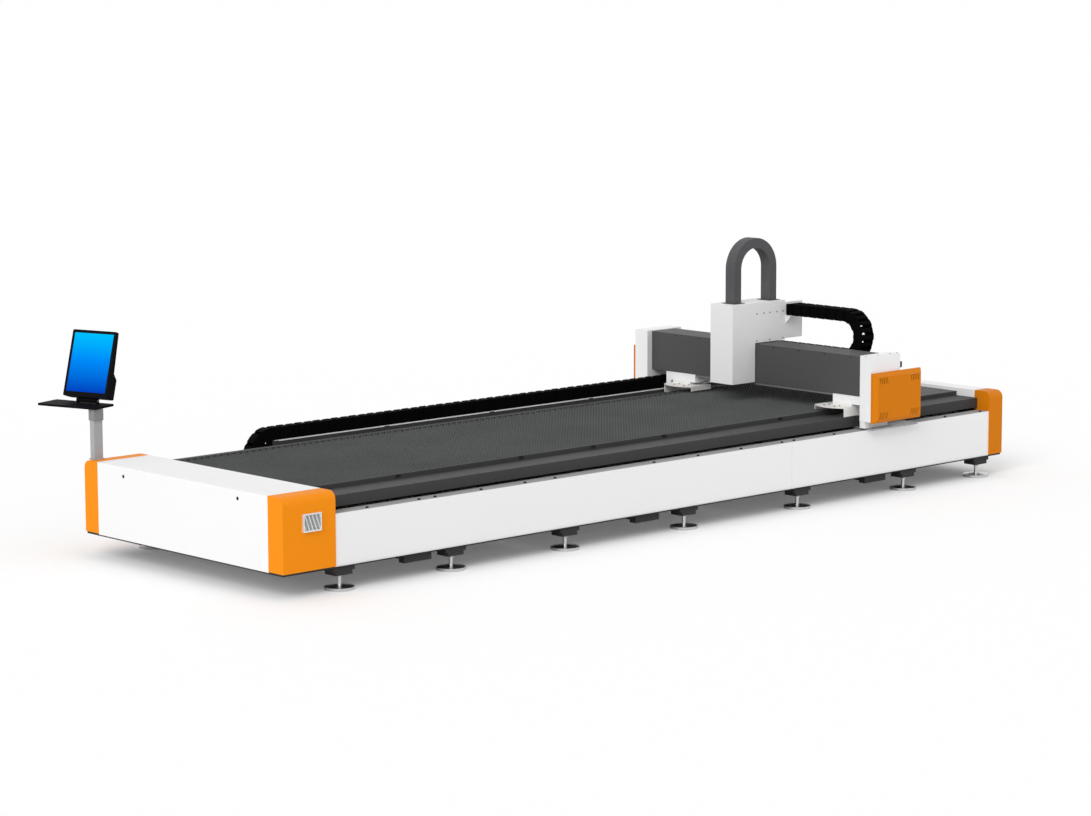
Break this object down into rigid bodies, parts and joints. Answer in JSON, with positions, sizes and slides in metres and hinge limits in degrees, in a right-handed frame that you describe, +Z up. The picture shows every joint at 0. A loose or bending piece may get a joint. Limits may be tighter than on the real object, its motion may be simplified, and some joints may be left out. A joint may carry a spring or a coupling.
{
  "type": "fiber laser cutting machine",
  "caption": "Flat-bed fiber laser cutting machine with slatted deck, travelling gantry, cutting head on a cross carriage, energy chains, levelling feet and a swivelling operator screen.",
  "frame": {"origin": "under the middle of the overall bounding box, at floor level", "axes": "+X along the bed from the console end to the gantry's rest end, +Y across to the far side, +Z up"},
  "size_m": [7.7308, 2.8612, 1.996],
  "materials": {
    "frame_paint": "satin",
    "polished_steel": "polished",
    "zinc_steel": "satin",
    "ledge_grey": "satin",
    "white_paint": "satin",
    "deck_steel": "matte",
    "cover_dark": "satin",
    "orange_paint": "satin",
    "vent_silver": "satin",
    "rack_steel": "machined",
    "motor_black": "satin",
    "beam_dark": "satin",
    "strip_grey": "satin",
    "shelf_beige": "satin",
    "plate_aluminium": "machined",
    "hose_grey": "matte",
    "head_aluminium": "anodised",
    "nozzle_brass": "machined",
    "chain_black": "matte",
    "pole_grey": "satin",
    "sleeve_dark": "satin",
    "casing_black": "satin",
    "screen_glass": "glossy"
  },
  "bodies": {
    "bed": {"bed_frame": "frame_paint", "low_cross_members": "frame_paint", "foot_brackets": "frame_paint", "levelling_feet": "polished_steel", "lock_nuts": "zinc_steel", "side_ledges": "ledge_grey", "side_panels": "white_paint", "slat_combs": "deck_steel", "slats": "deck_steel", "slat_support": "deck_steel", "scrap_trays": "deck_steel", "rail_covers": "cover_dark", "rear_deck_plate": "deck_steel", "corner_covers_front": "orange_paint", "corner_covers_rear": "orange_paint", "side_vent": "vent_silver", "front_housing": "white_paint", "rear_housing": "white_paint", "x_rails": "polished_steel", "x_racks": "rack_steel", "x_energy_chain": "chain_black", "x_chain_tray": "cover_dark", "console_column": "pole_grey"},
    "gantry": {"gantry_saddles": "rack_steel", "x_bearing_blocks": "zinc_steel", "x_drive_motors": "motor_black", "gantry_beam": "beam_dark", "beam_brackets": "white_paint", "beam_strip": "strip_grey", "gantry_end_near": "white_paint", "gantry_end_far": "white_paint", "drive_guards": "orange_paint", "rail_guards": "shelf_beige", "y_rails": "polished_steel", "y_rack": "rack_steel", "y_energy_chain": "chain_black", "y_chain_tray": "cover_dark", "chain_arm": "frame_paint"},
    "carriage": {"carriage_frame": "plate_aluminium", "y_bearing_blocks": "zinc_steel", "y_drive_motor": "motor_black", "head_cover_front": "white_paint", "head_cover_rear": "white_paint", "chain_plate": "white_paint", "hose_loop": "hose_grey", "z_rails": "polished_steel", "z_motor": "motor_black"},
    "cutting_head": {"z_slide": "plate_aluminium", "collimator": "head_aluminium", "lens_housing": "head_aluminium", "nozzle": "nozzle_brass"},
    "z_screw": {"z_screw": "rack_steel"},
    "y_pinion": {"y_pinion": "rack_steel"},
    "x_pinion_near": {"x_pinion_near": "rack_steel"},
    "x_pinion_far": {"x_pinion_far": "rack_steel"},
    "console": {"console_sleeve": "sleeve_dark", "console_desk": "casing_black", "screen_hinge_pin": "polished_steel"},
    "screen": {"screen_casing": "casing_black", "screen_glass": "screen_glass"}
  },
  "joints": [
    {"name": "gantry_slide", "type": "slide", "parent": "bed", "child": "gantry", "axis": [1, 0, 0], "range_m": [-5.14, 0.86], "deforming": ["x_energy_chain"]},
    {"name": "carriage_slide", "type": "slide", "parent": "gantry", "child": "carriage", "axis": [0, 1, 0], "range_m": [-0.918, 0.582], "deforming": ["y_energy_chain"]},
    {"name": "head_slide", "type": "slide", "parent": "carriage", "child": "cutting_head", "axis": [0, 0, 1], "range_m": [-0.11, 0]},
    {"name": "z_screw_spin", "type": "hinge", "parent": "carriage", "child": "z_screw", "pos_m": [2.08844, -0.0036, 1], "axis": [0, 0, 1], "continuous": true},
    {"name": "y_pinion_spin", "type": "hinge", "parent": "carriage", "child": "y_pinion", "pos_m": [2.42944, -0.0036, 0.9296], "axis": [1, 0, 0], "continuous": true},
    {"name": "x_pinion_near_spin", "type": "hinge", "parent": "gantry", "child": "x_pinion_near", "pos_m": [2.45294, -1.1392, 0.5], "axis": [0, 0, 1], "continuous": true},
    {"name": "x_pinion_far_spin", "type": "hinge", "parent": "gantry", "child": "x_pinion_far", "pos_m": [2.45294, 0.796, 0.5], "axis": [0, 0, 1], "continuous": true},
    {"name": "console_swivel", "type": "hinge", "parent": "bed", "child": "console", "pos_m": [-3.66256, 0.9234, 0.99], "axis": [0, 0, 1], "range_deg": [-90, 60]},
    {"name": "screen_tilt", "type": "hinge", "parent": "console", "child": "screen", "pos_m": [-3.59849, 1.11455, 1.1103], "axis": [0.309, -0.9511, 0], "range_deg": [-15, 15]}
  ],
  "couplings": [
    {"joint": "x_pinion_near_spin", "follows": "gantry_slide", "rad_per_m": -33.898},
    {"joint": "x_pinion_far_spin", "follows": "gantry_slide", "rad_per_m": 33.898},
    {"joint": "y_pinion_spin", "follows": "carriage_slide", "rad_per_m": 33.898},
    {"joint": "z_screw_spin", "follows": "head_slide", "rad_per_m": -628.32}
  ]
}
